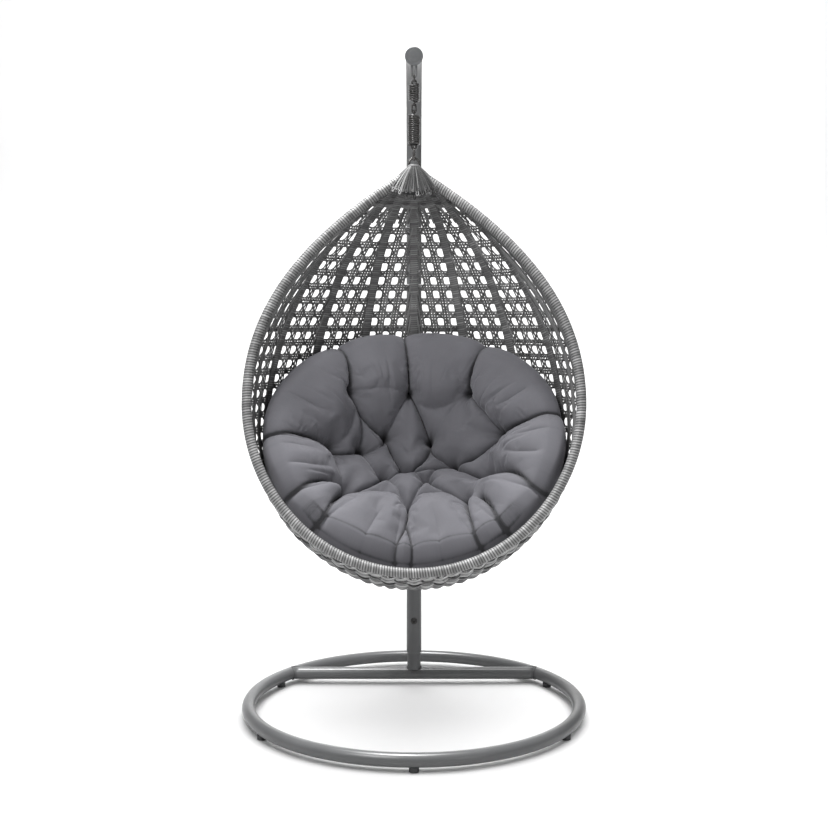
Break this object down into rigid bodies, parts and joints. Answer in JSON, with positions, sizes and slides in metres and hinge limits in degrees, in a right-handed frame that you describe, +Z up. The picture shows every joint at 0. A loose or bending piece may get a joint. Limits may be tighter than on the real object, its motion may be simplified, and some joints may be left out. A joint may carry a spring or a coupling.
{
  "type": "hanging pod chair",
  "caption": "Teardrop openwork basket chair with a round tufted cushion, hung by links and coil springs from a bowed pole on a ring base.",
  "frame": {"origin": "on the floor at the centre of the base ring", "axes": "+Z up, -Y the way the sitter faces, +X the sitter's left"},
  "size_m": [1, 1, 1.9259],
  "materials": {
    "frame_paint": "satin grey powder coat",
    "foot_rubber": "matt",
    "cap_plastic": "moulded grey",
    "bright_steel": "zinc plated",
    "spring_steel": "dark plated wire",
    "rim_wrap": "steel tube wound with grey resin strand",
    "rib_wrap": "rod wound with grey resin strand",
    "weave": "grey resin strand weave",
    "cushion_fabric": "grey woven cloth"
  },
  "bodies": {
    "stand": {"base_ring_rear": "frame_paint", "base_ring_front": "frame_paint", "foot_1": "foot_rubber", "foot_2": "foot_rubber", "foot_3": "foot_rubber", "foot_4": "foot_rubber", "foot_5": "foot_rubber", "foot_6": "foot_rubber", "cross_bar": "frame_paint", "pole_stub": "frame_paint", "pole_lower": "frame_paint", "pole_upper": "frame_paint", "pole_screw_lower": "bright_steel", "pole_screw_upper": "bright_steel", "pole_end_cap": "cap_plastic", "hanger_eye": "frame_paint"},
    "top_link_body": {"top_link": "bright_steel"},
    "upper_hanger": {"upper_spring": "spring_steel"},
    "mid_hanger": {"middle_link": "spring_steel", "lower_spring": "spring_steel"},
    "hook_body": {"pod_hook": "bright_steel"},
    "pod": {"apex_hub": "frame_paint", "pod_eye": "bright_steel", "pod_rim": "rim_wrap", "rib_1": "rib_wrap", "rib_2": "rib_wrap", "rib_3": "rib_wrap", "rib_4": "rib_wrap", "rib_5": "rib_wrap", "rib_6": "rib_wrap", "rib_7": "rib_wrap", "hoop_upper": "rib_wrap", "hoop_middle": "rib_wrap", "hoop_lower": "rib_wrap", "panel_upper_1": "weave", "panel_upper_2": "weave", "panel_upper_3": "weave", "panel_upper_4": "weave", "panel_upper_5": "weave", "panel_upper_6": "weave", "panel_upper_7": "weave", "panel_upper_8": "weave", "panel_middle_1": "weave", "panel_middle_2": "weave", "panel_middle_3": "weave", "panel_middle_4": "weave", "panel_middle_5": "weave", "panel_middle_6": "weave", "panel_middle_7": "weave", "panel_middle_8": "weave", "panel_lower_1": "weave", "panel_lower_2": "weave", "panel_lower_3": "weave", "panel_lower_4": "weave", "panel_lower_5": "weave", "panel_lower_6": "weave", "panel_lower_7": "weave", "panel_lower_8": "weave", "seat_cushion": "cushion_fabric"}
  },
  "joints": [
    {"name": "swing_fore_aft", "type": "hinge", "parent": "stand", "child": "top_link_body", "pos_m": [0, 0, 1.8322], "axis": [1, 0, 0], "range_deg": [-12, 1.5]},
    {"name": "swing_sideways", "type": "hinge", "parent": "top_link_body", "child": "upper_hanger", "pos_m": [0, 0, 1.8189], "axis": [0, 1, 0], "range_deg": [-10, 10]},
    {"name": "upper_spring_stretch", "type": "slide", "parent": "upper_hanger", "child": "mid_hanger", "axis": [0, 0, 1], "range_m": [-0.02, 0], "stiffness_N_per_m": 25000, "springref_m": 0.02, "deforming": ["upper_spring"]},
    {"name": "lower_spring_stretch", "type": "slide", "parent": "mid_hanger", "child": "hook_body", "axis": [0, 0, 1], "range_m": [-0.04, 0], "stiffness_N_per_m": 10000, "springref_m": 0.05, "deforming": ["lower_spring"]},
    {"name": "pod_spin", "type": "hinge", "parent": "hook_body", "child": "pod", "pos_m": [0, 0, 1.6], "axis": [0, 0, 1], "range_deg": [-20, 20]}
  ]
}
